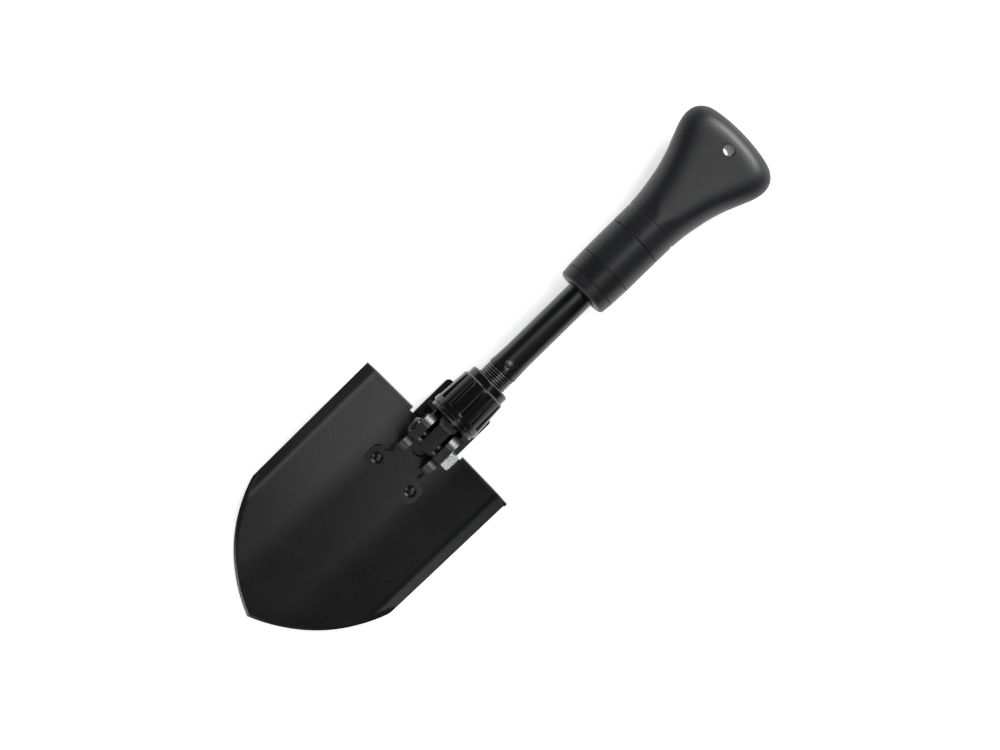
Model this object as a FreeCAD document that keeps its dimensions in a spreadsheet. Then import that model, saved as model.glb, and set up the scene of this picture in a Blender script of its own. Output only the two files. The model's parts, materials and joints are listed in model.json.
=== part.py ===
import FreeCAD, Part
import math
import os
import re

import Sketcher

# Folding camp shovel with a telescoping handle, lying face up on the ground.
#
# Every piece is drawn about the blade's pivot: X runs along the shaft towards the
# pommel, Y along the pivot bolt, and Z out of the front of the shovel. The blade's
# own pieces are drawn on the blade's plane, which leans back by blade_pitch. The
# placements then lay the whole shovel down, so that the blade's tip and the pommel
# touch the ground and the hammer stands just clear of it, with the origin under the
# middle of the bounding box.

Vector = FreeCAD.Vector
Rotation = FreeCAD.Rotation
Placement = FreeCAD.Placement

doc = FreeCAD.newDocument("camp_shovel")


# ---------------------------------------------------------------- driving dimensions

DIMENSIONS = [
    ("rest_tilt", 2.895, "shaft to the ground as the shovel lies, degrees"),
    ("pivot_x", -52.60, "pivot bolt from the origin, along X"),
    ("pivot_z", 29.24, "pivot bolt above the ground"),
    # blade, in its own leaning frame
    ("blade_pitch", 6.5, "blade's lean behind the shaft, degrees"),
    ("blade_drop", 17.2, "pivot to the blade's front face"),
    ("blade_sheet", 2.0, "thickness of the blade's steel"),
    ("tip_x", 160.3, "pivot to the blade's tip"),
    ("shoulder_x", 94.3, "pivot to the blade's shoulders"),
    ("shoulder_half", 59.4, "half width at the shoulders"),
    ("top_half", 60.1, "half width at the foot edge"),
    ("foot_x", 5.5, "pivot to the foot edge"),
    ("foot_height", 5.0, "height of the foot flange above the blade"),
    ("foot_sheet", 2.0, "thickness of the foot flange"),
    ("ogive_radius", 101.4, "radius of the two arcs that make the point"),
    ("blade_flat_half", 21.0, "half width of the blade's flat middle"),
    ("panel_half", 52.5, "half width to the bend of the side strips"),
    ("panel_rise", 2.9, "rise of the panels over the flat middle"),
    ("strip_rise", 6.0, "rise of the side strips' edges"),
    ("blade_notch_x", 2.1, "bottom of the notch in the foot edge"),
    ("blade_notch_half", 21.5, "half width of that notch"),
    ("cheek_slot_x", 18.6, "front end of the slot for the yoke's cheeks"),
    ("cheek_slot_half", 11.6, "half width of that slot"),
    # hinge bracket on the blade's front
    ("plate_far_x", 39.7, "front edge of the T plate"),
    ("plate_near_x", 25.5, "rear edge of the T plate's arms"),
    ("plate_half", 20.8, "half width of the T plate"),
    ("plate_corner", 4.0, "corner radius of the T plate"),
    ("plate_sheet", 2.0, "thickness of the T plate"),
    ("wall_outer", 12.95, "centre to the outside of the bracket's walls"),
    ("wall_inner", 11.15, "centre to the inside of the bracket's walls"),
    ("wall_rear_x", 10.6, "rear end of the bracket's walls"),
    ("fork_half", 7.0, "half width of the plate between the cheeks"),
    ("fork_end_x", 9.6, "rear end of that stretch of plate"),
    ("tongue_notch_r", 5.0, "round notch that clears the tongue"),
    ("rivet_x", 32.6, "pivot to the rivets"),
    ("rivet_half", 14.5, "centre to each rivet"),
    ("rivet_r", 2.4, "rivet shank radius"),
    ("rivet_head_r", 3.9, "rivet head radius"),
    ("rivet_head_high", 1.5, "height of the rivet's dome"),
    ("rivet_tail_r", 3.6, "radius of the closed end of the rivet"),
    ("rivet_tail_high", 0.8, "height of the closed end of the rivet"),
    # round ears with three flats for the locking ring
    ("cam_r", 16.85, "radius of the ears about the pivot"),
    ("cam_flat", 16.1, "pivot to each flat of the ears"),
    # hammer yoke behind the blade
    ("cheek_inner", 7.25, "centre to the inside of the cheeks"),
    ("cheek_front_x", 15.5, "front face of the cheeks below the ears"),
    ("cheek_rear_x", 15.8, "rear face of the cheeks below the ears"),
    ("tail_sheet", 3.0, "thickness of the yoke's tail behind the blade"),
    ("hammer_near_x", 6.05, "near end of the hammer"),
    ("hammer_far_x", 35.0, "striking face of the hammer"),
    ("hammer_half", 18.8, "half width of the hammer"),
    ("hammer_top", 18.2, "shaft centre line to the hammer's front face"),
    ("hammer_bottom", 27.33, "shaft centre line to the hammer's back face"),
    ("hammer_corner", 3.0, "corner radius of the hammer in plan"),
    ("gusset_x", 12.4, "start of the gussets outside the cheeks"),
    ("gusset_sheet", 2.6, "thickness of the gussets"),
    ("gusset_foot", 17.0, "centre to the foot of the cheek's gusset"),
    ("gusset_height", 4.4, "height of the gusset"),
    # pivot bolt, washer, nut and bushes
    ("bolt_r", 3.0, "M6 bolt"),
    ("bolt_hole_r", 3.05, "hole for the bolt"),
    ("bolt_head_r", 6.2, "button head radius"),
    ("bolt_head_high", 3.5, "button head height"),
    ("bolt_end_y", 19.9, "centre to the end of the bolt"),
    ("washer_r", 6.2, "washer radius"),
    ("washer_sheet", 1.2, "washer thickness"),
    ("nut_flats", 10.0, "nut across its flats"),
    ("nut_high", 5.1, "nut thickness"),
    ("nut_turn", 10.0, "how far the nut is turned about the bolt, degrees"),
    ("bush_r", 4.2, "bush outside radius in the tongue"),
    ("bush_flange_r", 5.8, "bush flange radius"),
    ("bush_face", 7.15, "centre to the bush flange's face"),
    # tongue forging
    ("tongue_front_x", 6.0, "pivot to the tongue's front end"),
    ("tongue_half", 4.45, "half thickness of the tongue"),
    ("tongue_high", 16.3, "half height of the tongue"),
    ("boss_x", 11.5, "where the tongue begins to widen"),
    ("boss_half", 6.0, "half width of the tongue's shoulder"),
    ("boss_high", 14.4, "half height of the tongue's shoulder"),
    ("boss_end_x", 15.9, "rear face of the shoulder"),
    ("ear_clear_x", 17.1, "where the guide is clear of the turning ears"),
    ("guide_neck_half", 7.0, "half width of the guide between the ears"),
    ("spigot_r", 11.2, "round guide for the locking ring"),
    ("spigot_flat", 10.1, "flats on that guide"),
    ("spigot_end_x", 24.0, "rear end of the guide, where the tube starts"),
    ("plug_end_x", 46.0, "end of the tongue's plug inside the tube"),
    ("fit_gap", 0.05, "gap between pieces that are fixed together"),
    ("pin_x", 36.0, "roll pin through the tube and the plug"),
    ("pin_r", 2.0, "roll pin radius"),
    # shaft tube
    ("tube_r", 9.2, "tube outside radius"),
    ("tube_bore_r", 7.6, "tube inside radius"),
    ("thread_r", 9.86, "thread crest radius"),
    ("thread_deep", 0.8, "thread depth"),
    ("thread_pitch", 1.6, "thread pitch"),
    ("thread_end_x", 62.0, "end of the thread"),
    ("taper_end_x", 72.3, "end of the taper behind the thread"),
    ("channel_x", 69.0, "start of the tube's two shallow channels"),
    ("channel_r", 16.0, "radius of each channel across"),
    ("channel_floor", 8.42, "centre to the bottom of each channel"),
    ("tube_end_x", 165.0, "top end of the tube"),
    # stop bush on the tube's top end
    ("stop_start_x", 159.4, "lower face of the stop bush"),
    ("stop_r", 11.2, "stop bush radius"),
    ("key_r", 12.4, "radius over the stop bush's keys"),
    ("key_half", 1.5, "half width of the keys"),
    ("stop_pin_x", 162.2, "pin through the stop bush"),
    ("stop_pin_r", 1.5, "radius of that pin"),
    # locking ring and collar
    ("ring_face_x", 17.0, "front face of the locking ring"),
    ("ring_back_x", 19.2, "rear face of the locking ring"),
    ("ring_r", 15.9, "locking ring radius"),
    ("ring_bore_r", 11.3, "locking ring bore"),
    ("ring_flat", 10.2, "flats in that bore"),
    ("hub_r", 12.6, "radius of the hub inside the collar"),
    ("hub_end_x", 25.7, "rear end of the hub"),
    ("snap_x", 24.3, "front face of the snap ring"),
    ("snap_sheet", 0.9, "snap ring thickness"),
    ("snap_bore_r", 12.0, "snap ring bore"),
    ("snap_r", 13.9, "snap ring radius"),
    ("thrust_r", 15.2, "thrust washer radius"),
    ("thrust_sheet", 0.5, "thrust washer thickness"),
    ("collar_x", 19.8, "front face of the collar"),
    ("flange_end_x", 24.25, "rear edge of the collar's flange"),
    ("flange_r", 16.83, "flange radius"),
    ("collar_r", 16.5, "collar radius at the flange"),
    ("collar_end_x", 45.8, "rear end of the fluted part"),
    ("collar_end_r", 15.3, "collar radius at that end"),
    ("recess_x", 23.8, "start of the recess for the snap ring"),
    ("recess_r", 14.2, "radius of that recess"),
    ("flute_centre_r", 16.95, "centre line of each flute"),
    ("flute_r", 2.35, "radius of each flute"),
    ("flute_end_x", 45.0, "end of the flutes"),
    ("flutes", 12, "number of flutes"),
    ("core_x", 26.0, "front end of the threaded core"),
    ("core_r", 12.8, "core radius inside the collar"),
    ("core_bore_r", 10.05, "clear bore of the core"),
    ("core_ring_r", 13.94, "radius of the core's end ring"),
    ("core_end_x", 51.0, "rear end of the core"),
    # twist lock at the bottom of the handle
    ("cap_x", 126.9, "bottom end of the handle"),
    ("cap_r", 16.9, "cap radius at the bottom"),
    ("cap_end_x", 134.6, "joint between cap and band"),
    ("cap_end_r", 17.6, "radius at that joint"),
    ("band_end_x", 146.9, "joint between band and twist collar"),
    ("band_end_r", 18.05, "radius at that joint"),
    ("twist_end_x", 171.5, "top of the twist collar"),
    ("skirt_r", 16.2, "twist collar under the band and the cap"),
    ("skirt_x", 131.8, "bottom of the twist collar's skirt"),
    ("seat_r", 12.6, "small end of the conical seat"),
    ("seat_x", 142.9, "small end of the conical seat, from the pivot"),
    ("seat_end_r", 14.2, "large end of the conical seat"),
    ("seat_end_x", 158.3, "end of the conical seat"),
    ("nut_bore_r", 15.0, "bore over the grip's neck"),
    ("cap_bore_r", 10.3, "cap bore around the tube"),
    ("seal_x", 128.4, "bottom of the wiper seal"),
    ("seal_end_x", 131.4, "top of the wiper seal"),
    ("seal_r", 12.0, "wiper seal radius"),
    ("seal_bore_r", 10.2, "wiper seal bore"),
    ("collet_x", 143.4, "bottom of the collet"),
    ("collet_end_x", 158.7, "top of the collet"),
    ("collet_r", 12.3, "small end of the collet"),
    ("collet_end_r", 13.8, "large end of the collet"),
    ("collet_bore_r", 9.26, "collet bore around the tube"),
    ("collet_slot_end_x", 155.0, "end of the collet's slots"),
    ("collet_slot", 1.2, "width of the collet's slots"),
    ("grit_x", 169.9, "bottom of the grit seal"),
    ("grit_end_x", 171.4, "top of the grit seal"),
    ("grit_r", 15.7, "grit seal radius"),
    ("grit_bore_r", 16.0, "counterbore around the grit seal"),
    # grip
    ("neck_x", 158.9, "open end of the grip's neck"),
    ("neck_r", 14.7, "neck radius"),
    ("grip_x", 171.9, "bottom of the bare grip"),
    ("grip_r", 18.15, "grip radius"),
    ("bore_r", 11.3, "bore that guides the stop bush"),
    ("bore_end_x", 236.4, "blind end of that bore"),
    ("keyway_r", 12.6, "radius of the bore's keyways"),
    ("keyway_half", 1.7, "half width of the keyways"),
    ("groove_x", 184.2, "start of the shallow groove around the grip"),
    ("groove_end_x", 186.2, "end of that groove"),
    ("groove_deep", 0.35, "depth of that groove"),
    ("facet_x", 191.0, "where the front facet begins"),
    ("facet_pitch", 6.4, "slope of the facet, degrees"),
    ("lanyard_x", 249.2, "lanyard hole"),
    ("lanyard_r", 3.7, "lanyard hole radius"),
]

# Sections of the grip: distance from the pivot, half width and half thickness.
GRIP_SECTIONS = [
    (171.9, 18.15, 18.15),
    (189.0, 18.5, 18.25),
    (203.8, 20.4, 18.3),
    (213.6, 22.4, 18.2),
    (223.5, 25.4, 17.9),
    (233.3, 29.4, 17.3),
    (243.1, 33.2, 16.2),
    (250.0, 33.9, 14.0),
    (256.0, 32.1, 11.0),
    (260.8, 26.6, 7.2),
    (263.2, 17.5, 4.2),
    (264.3, 8.0, 1.8),
]

sheet = doc.addObject("Spreadsheet::Sheet", "dims")


def enter(row, alias, number, meaning):
    sheet.set(f"A{row}", meaning)
    sheet.set(f"B{row}", str(number))
    sheet.setAlias(f"B{row}", alias)


for row, (alias, number, meaning) in enumerate(DIMENSIONS, start=1):
    enter(row, alias, number, meaning)
row = len(DIMENSIONS) + 1
for index, (along, half_width, half_thick) in enumerate(GRIP_SECTIONS):
    enter(row, f"section_{index}_along", along, "grip section from the pivot")
    enter(row + 1, f"section_{index}_width", half_width, "its half width")
    enter(row + 2, f"section_{index}_thick", half_thick, "its half thickness")
    row += 3
doc.recompute()

ALIASES = {alias for alias, number, meaning in DIMENSIONS}
ALIASES |= {
    f"section_{index}_{name}"
    for index in range(len(GRIP_SECTIONS))
    for name in ("along", "width", "thick")
}


def link(text):
    """A formula on the sheet's aliases, written as the document wants it."""
    return re.sub(
        r"[a-z_][a-z0-9_]*",
        lambda found: f"dims.{found[0]}" if found[0] in ALIASES else found[0],
        text,
    )


def value(text):
    return float(sheet.evalExpression(link(text)))


def bind(thing, name, text):
    if any(word in ALIASES for word in re.findall(r"[a-z_][a-z0-9_]*", text)):
        thing.setExpression(name, link(text))


# ---------------------------------------------------------------- placing

def lay_down(thing, tilt="rest_tilt"):
    """Place a piece drawn about the pivot, tilted about the pivot's own axis."""
    thing.Placement = Placement(
        Vector(value("pivot_x"), 0, value("pivot_z")),
        Rotation(Vector(0, 1, 0), value(tilt)),
    )
    bind(thing, "Placement.Base.x", "pivot_x")
    bind(thing, "Placement.Base.z", "pivot_z")
    bind(thing, "Placement.Rotation.Angle", f"({tilt}) * 1 deg")


BLADE_TILT = "rest_tilt - blade_pitch"


def new_body(label, tilt="rest_tilt"):
    body = doc.addObject("PartDesign::Body", label)
    body.Label = label
    lay_down(body, tilt)
    return body


# ---------------------------------------------------------------- sketches

ALONG = "XZ_Plane"      # side view: sketch x is X, sketch y is Z
PLAN = "XY_Plane"       # plan view: sketch x is X, sketch y is Y
ACROSS = "YZ_Plane"     # section: sketch x is Y, sketch y is Z


def sketch_on(body, plane, offset="0", turn="0"):
    sketch = body.newObject("Sketcher::SketchObject", "sketch")
    support = [item for item in body.Origin.OriginFeatures if item.Role == plane][0]
    sketch.AttachmentSupport = [(support, "")]
    sketch.MapMode = "FlatFace"
    sketch.AttachmentOffset = Placement(
        Vector(0, 0, value(offset)), Rotation(Vector(0, 0, 1), value(turn))
    )
    bind(sketch, "AttachmentOffset.Base.z", offset)
    bind(sketch, "AttachmentOffset.Rotation.Angle", f"({turn}) * 1 deg")
    return sketch


def fix_point(sketch, geometry, end, across, up):
    """Hold one end of a line or arc, or a circle's centre, at formulas of the sheet."""
    for kind, axis, text in (("DistanceX", -2, across), ("DistanceY", -1, up)):
        number = value(text)
        if abs(number) < 1e-9:
            sketch.addConstraint(Sketcher.Constraint("PointOnObject", geometry, end, axis))
        else:
            rule = Sketcher.Constraint(kind, -1, 1, geometry, end, number)
            bind(sketch, f"Constraints[{sketch.addConstraint(rule)}]", text)


def circle(sketch, across, up, radius):
    centre = Vector(value(across), value(up), 0)
    geometry = sketch.addGeometry(Part.Circle(centre, Vector(0, 0, 1), value(radius)))
    fix_point(sketch, geometry, 3, across, up)
    rule = Sketcher.Constraint("Radius", geometry, value(radius))
    bind(sketch, f"Constraints[{sketch.addConstraint(rule)}]", radius)


def arc_between(start, end, radius, centre_on_left):
    chord = end - start
    middle = (start + end) * 0.5
    reach = math.sqrt(radius ** 2 - (chord.Length / 2) ** 2)
    left = Vector(-chord.y, chord.x, 0).normalize()
    centre = middle + left * (reach if centre_on_left else -reach)
    first, last = (start, end) if centre_on_left else (end, start)
    angles = [math.atan2(point.y - centre.y, point.x - centre.x) for point in (first, last)]
    if angles[1] < angles[0]:
        angles[1] += 2 * math.pi
    return Part.ArcOfCircle(Part.Circle(centre, Vector(0, 0, 1), radius), *angles)


def outline(sketch, corners, arcs=None):
    """A closed outline through corners, given as formulas.

    arcs names the stretches that are arcs, by the number of the corner they start
    from, each with its radius and whether its centre is on the left of the way round.
    """
    arcs = arcs or {}
    points = [Vector(value(across), value(up), 0) for across, up in corners]
    count = len(corners)
    ends = []
    for number, start in enumerate(points):
        end = points[(number + 1) % count]
        if number in arcs:
            radius, centre_on_left = arcs[number]
            line = arc_between(start, end, value(radius), centre_on_left)
            geometry = sketch.addGeometry(line)
            rule = Sketcher.Constraint("Radius", geometry, value(radius))
            bind(sketch, f"Constraints[{sketch.addConstraint(rule)}]", radius)
            ends.append((geometry, 1, 2) if centre_on_left else (geometry, 2, 1))
        else:
            ends.append((sketch.addGeometry(Part.LineSegment(start, end)), 1, 2))
    for number, (geometry, first, last) in enumerate(ends):
        following, start, finish = ends[(number + 1) % count]
        sketch.addConstraint(
            Sketcher.Constraint("Coincident", geometry, last, following, start)
        )
        fix_point(sketch, geometry, first, *corners[number])


def rectangle(sketch, low_x, high_x, low_y, high_y):
    outline(sketch, [(low_x, low_y), (high_x, low_y), (high_x, high_y), (low_x, high_y)])


# ---------------------------------------------------------------- features

def feature(body, kind, sketch):
    made = body.newObject(f"PartDesign::{kind}", kind.lower())
    made.Profile = sketch
    return made


def pad(body, sketch, length, both_ways=False, backwards=False):
    made = feature(body, "Pad", sketch)
    made.SideType = "Symmetric" if both_ways else "One side"
    made.Reversed = backwards
    made.Length = value(length)
    bind(made, "Length", length)
    doc.recompute()
    return made


def check_cut(body, made, volume_before):
    doc.recompute()
    if made.Shape.isNull() or made.Shape.Volume > volume_before - 1e-3:
        raise RuntimeError(f"{body.Label}: {made.Name} cuts nothing")


def pocket(body, sketch, length="400", both_ways=True, backwards=False):
    volume = body.Shape.Volume
    made = feature(body, "Pocket", sketch)
    made.SideType = "Symmetric" if both_ways else "One side"
    made.Reversed = backwards
    made.Length = value(length)
    bind(made, "Length", length)
    check_cut(body, made, volume)
    return made


def revolve(body, sketch, axis="H_Axis"):
    made = feature(body, "Revolution", sketch)
    made.ReferenceAxis = (sketch, [axis])
    made.Angle = 360
    doc.recompute()
    return made


def groove(body, sketch, axis="H_Axis"):
    volume = body.Shape.Volume
    made = feature(body, "Groove", sketch)
    made.ReferenceAxis = (sketch, [axis])
    made.Angle = 360
    check_cut(body, made, volume)
    return made


def turned(label, corners, plane=ALONG, axis="H_Axis", arcs=None):
    """A piece of revolution about the shaft's X, or the bolt's Y with plane PLAN."""
    body = new_body(label)
    sketch = sketch_on(body, plane)
    outline(sketch, corners, arcs)
    revolve(body, sketch, axis)
    return body


def edges_of(shape, test):
    return [f"Edge{number}" for number, edge in enumerate(shape.Edges, start=1) if test(edge)]


def dress(body, kind, size, test):
    """Fillet or chamfer the edges of the body's tip that pass the test."""
    tip = body.Tip
    names = edges_of(tip.Shape, test)
    if not names:
        raise RuntimeError(f"{body.Label}: no edge to dress")
    made = body.newObject(f"PartDesign::{kind}", kind.lower())
    made.Base = (tip, names)
    name = "Radius" if kind == "Fillet" else "Size"
    setattr(made, name, value(size))
    bind(made, name, size)
    doc.recompute()
    return made


def is_upright(edge, least=0.999):
    return edge.Curve.TypeId == "Part::GeomLine" and abs(edge.Curve.Direction.z) > least


# ---------------------------------------------------------------- blade and its hinge

def make_blade():
    body = new_body("blade", BLADE_TILT)
    levels = {
        "front": "-blade_drop",
        "back": "-blade_drop - blade_sheet",
        "foot": "-blade_drop + foot_height",
    }

    def section(low, high):
        half = [
            ("panel_half + 8.1", "strip_rise"),
            ("panel_half", "panel_rise"),
            ("blade_flat_half", "0"),
        ]
        right = [(across, f"{high} + {rise}") for across, rise in half]
        left = [(f"-({across})", f"{high} + {rise}") for across, rise in reversed(half)]
        under_left = [(f"-({across})", f"{low} + {rise}") for across, rise in half]
        under_right = [(across, f"{low} + {rise}") for across, rise in reversed(half)]
        return right + left + under_left + under_right

    sheet_section = sketch_on(body, ACROSS, "foot_x")
    outline(sheet_section, section(levels["back"], levels["front"]))
    pad(body, sheet_section, "foot_x + tip_x + 1", backwards=True)
    foot_section = sketch_on(body, ACROSS, "foot_x")
    outline(foot_section, section(levels["back"], levels["foot"]))
    pad(body, foot_section, "foot_sheet", backwards=True)

    around = sketch_on(body, PLAN)
    rectangle(around, "-tip_x - 10", "foot_x + 10", "-top_half - 20", "top_half + 20")
    beyond = "foot_x + 1"
    outline(
        around,
        [
            ("-tip_x", "0"),
            ("-shoulder_x", "-shoulder_half"),
            (beyond, "-top_half"),
            (beyond, "-blade_notch_half"),
            ("blade_notch_x", "-blade_notch_half"),
            ("blade_notch_x", "-cheek_slot_half"),
            ("-cheek_slot_x", "-cheek_slot_half"),
            ("-cheek_slot_x", "cheek_slot_half"),
            ("blade_notch_x", "cheek_slot_half"),
            ("blade_notch_x", "blade_notch_half"),
            (beyond, "blade_notch_half"),
            (beyond, "top_half"),
            ("-shoulder_x", "shoulder_half"),
        ],
        {0: ("ogive_radius", True), 12: ("ogive_radius", True)},
    )
    pocket(body, around)
    holes = sketch_on(body, PLAN)
    circle(holes, "-rivet_x", "rivet_half", "rivet_r + fit_gap")
    circle(holes, "-rivet_x", "-rivet_half", "rivet_r + fit_gap")
    pocket(body, holes)
    return body


def add_ears(body, outer, rear="cam_flat"):
    """Round ears about the pivot, with the flats that the locking ring bears on."""
    disc = sketch_on(body, ALONG)
    circle(disc, "0", "0", "cam_r")
    pad(body, disc, f"2 * {outer}", both_ways=True)
    flats = sketch_on(body, ALONG, turn="-blade_pitch")
    rectangle(flats, "-cam_flat - 9", "-cam_flat", "-12", "12")
    rectangle(flats, rear, "cam_flat + 9", "-12", "12")
    rectangle(flats, "-12", "12", "cam_flat", "cam_flat + 9")
    pocket(body, flats)


def make_front_bracket():
    body = new_body("front_bracket", BLADE_TILT)
    add_ears(body, "wall_outer", "wall_rear_x")
    skirt = sketch_on(body, ALONG)
    outline(
        skirt,
        [
            ("-plate_near_x + 1", "-blade_drop"),
            ("wall_rear_x - 2.2", "-blade_drop"),
            ("wall_rear_x - 2.2", "0"),
            ("-cheek_front_x", "0"),
            ("-cheek_front_x", "-blade_drop + 6"),
            ("-plate_near_x + 1", "-blade_drop + plate_sheet"),
        ],
    )
    pad(body, skirt, "2 * wall_outer", both_ways=True)
    between = sketch_on(body, PLAN)
    rectangle(between, "-plate_far_x", "cam_r + 5", "-wall_inner", "wall_inner")
    pocket(body, between)

    plate = sketch_on(body, PLAN, "-blade_drop")
    half_fork = [
        ("-plate_far_x", "plate_half"),
        ("-plate_near_x", "plate_half"),
        ("-plate_near_x", "wall_outer"),
        ("-cheek_slot_x", "wall_outer"),
        ("-cheek_slot_x", "fork_half"),
        ("-fork_end_x", "fork_half"),
        ("-fork_end_x", "tongue_notch_r"),
    ]
    mirrored = [(along, f"-{across}") for along, across in reversed(half_fork)]
    outline(plate, half_fork + mirrored, {6: ("tongue_notch_r + 0.001", True)})
    pad(body, plate, "plate_sheet")
    corners = value("plate_half") - 0.1
    dress(
        body, "Fillet", "plate_corner",
        lambda edge: is_upright(edge) and abs(edge.Vertexes[0].Point.y) > corners,
    )
    holes = sketch_on(body, PLAN)
    circle(holes, "-rivet_x", "rivet_half", "rivet_r + fit_gap")
    circle(holes, "-rivet_x", "-rivet_half", "rivet_r + fit_gap")
    pocket(body, holes)
    pivot = sketch_on(body, ALONG)
    circle(pivot, "0", "0", "bolt_hole_r")
    pocket(body, pivot)
    return body


def make_hammer_yoke():
    body = new_body("hammer_yoke", BLADE_TILT)
    add_ears(body, "wall_inner")
    cheeks = sketch_on(body, ALONG, turn="-blade_pitch")
    rectangle(cheeks, "-cheek_front_x", "cheek_rear_x", "-hammer_bottom + 2", "0")
    pad(body, cheeks, "2 * wall_inner", both_ways=True)
    tail = sketch_on(body, PLAN, "-blade_drop - blade_sheet")
    rectangle(tail, "-plate_far_x", "hammer_near_x", "-hammer_half", "hammer_half")
    pad(body, tail, "tail_sheet", backwards=True)
    head = sketch_on(body, ALONG, turn="-blade_pitch")
    rectangle(head, "hammer_near_x", "hammer_far_x", "-hammer_bottom", "-hammer_top")
    pad(body, head, "2 * hammer_half", both_ways=True)

    gussets = sketch_on(body, ACROSS, "gusset_x")
    for side in ("", "-"):
        outline(
            gussets,
            [
                (f"{side}(wall_inner - 0.5)", "-hammer_top - 2"),
                (f"{side}gusset_foot", "-hammer_top - 2"),
                (f"{side}gusset_foot", "-hammer_top - 0.5"),
                (f"{side}wall_inner", "-hammer_top + gusset_height"),
                (f"{side}(wall_inner - 0.5)", "-hammer_top + gusset_height"),
            ],
        )
    pad(body, gussets, "gusset_sheet")
    dress(
        body, "Fillet", "hammer_corner",
        lambda edge: is_upright(edge, 0.99)
        and abs(edge.Vertexes[0].Point.y) > value("hammer_half") - 0.1
        and abs(edge.Vertexes[0].Point.x) > 25,
    )

    gap = sketch_on(body, PLAN, "-blade_drop - 0.7")
    rectangle(gap, "-cam_r - 5", "cam_r + 5", "-cheek_inner", "cheek_inner")
    pocket(body, gap, "60", both_ways=False, backwards=True)
    pivot = sketch_on(body, ALONG)
    circle(pivot, "0", "0", "bolt_hole_r")
    pocket(body, pivot)
    holes = sketch_on(body, PLAN)
    circle(holes, "-rivet_x", "rivet_half", "rivet_r + fit_gap")
    circle(holes, "-rivet_x", "-rivet_half", "rivet_r + fit_gap")
    pocket(body, holes)
    return body


def mirrored_pair(label, body):
    """A node of two separate solids: a piece and its mirror image across Y."""
    other = doc.addObject("Part::Mirroring", f"{label}_other")
    other.Source = body
    other.Normal = Vector(0, 1, 0)
    pair = doc.addObject("Part::Compound", label)
    pair.Links = [body, other]
    pair.Label = label
    body.Label = f"one_of_{label}"
    doc.recompute()
    return pair


def make_rivets():
    body = new_body("rivet", BLADE_TILT)
    profile = sketch_on(body, ALONG, "-rivet_half")
    front = "-blade_drop + plate_sheet"
    back = "-blade_drop - blade_sheet - tail_sheet"
    rise = "(rivet_head_high - 0.3)"
    dome = f"(rivet_head_r ^ 2 + {rise} ^ 2) / (2 * {rise})"
    outline(
        profile,
        [
            ("-rivet_x", f"{back} - rivet_tail_high"),
            ("-rivet_x + rivet_tail_r", f"{back} - rivet_tail_high"),
            ("-rivet_x + rivet_tail_r", back),
            ("-rivet_x + rivet_r", back),
            ("-rivet_x + rivet_r", front),
            ("-rivet_x + rivet_head_r", front),
            ("-rivet_x + rivet_head_r", f"{front} + 0.3"),
            ("-rivet_x", f"{front} + rivet_head_high"),
        ],
        {6: (dome, True)},
    )
    spin = profile.addGeometry(
        Part.LineSegment(Vector(-value("rivet_x"), 0, 0), Vector(-value("rivet_x"), -9, 0)), True
    )
    fix_point(profile, spin, 1, "-rivet_x", "0")
    fix_point(profile, spin, 2, "-rivet_x", "-9")
    revolve(body, profile, "Axis0")
    return mirrored_pair("blade_rivets", body)


def make_pivot_bolt():
    head = "wall_outer + bolt_head_high"
    body = turned(
        "pivot_bolt",
        [
            ("0", "-bolt_end_y"),
            ("bolt_r - 0.4", "-bolt_end_y"),
            ("bolt_r", "-bolt_end_y + 0.4"),
            ("bolt_r", "wall_outer"),
            ("bolt_head_r", "wall_outer"),
            ("bolt_head_r", "wall_outer + 0.7"),
            ("2.9", head),
            ("0", head),
        ],
        PLAN, "V_Axis", {5: ("5.2", True)},
    )
    socket = sketch_on(body, ALONG, f"-({head})")
    hexagon(socket, "4", "0")
    pocket(body, socket, "2", both_ways=False, backwards=True)
    return body


def hexagon(sketch, flats, turn):
    corner = f"({flats}) / 2 / cos(30)"
    outline(
        sketch,
        [
            (f"{corner} * cos({60 * number} + {turn})", f"{corner} * sin({60 * number} + {turn})")
            for number in range(6)
        ],
    )


def make_pivot_nut():
    body = new_body("pivot_nut")
    start = "wall_outer + washer_sheet"
    sketch = sketch_on(body, ALONG, start)
    hexagon(sketch, "nut_flats", "40 + nut_turn - 10")
    circle(sketch, "0", "0", "bolt_r")
    pad(body, sketch, "nut_high")
    corners = sketch_on(body, PLAN)
    outer = "nut_flats / 2 / cos(30) + 0.2"
    end = f"-({start} + nut_high)"
    outline(
        corners,
        [
            ("nut_flats / 2", f"{end} - 0.01"),
            (outer, f"{end} - 0.01"),
            (outer, f"{end} + 0.6"),
        ],
    )
    groove(body, corners, "V_Axis")
    return body


def make_pivot_washer():
    inner = "-wall_outer"
    outer = "-wall_outer - washer_sheet"
    return turned(
        "pivot_washer",
        [("bolt_hole_r", outer), ("washer_r", outer), ("washer_r", inner), ("bolt_hole_r", inner)],
        PLAN, "V_Axis",
    )


# ---------------------------------------------------------------- tongue, tube and stop

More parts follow.
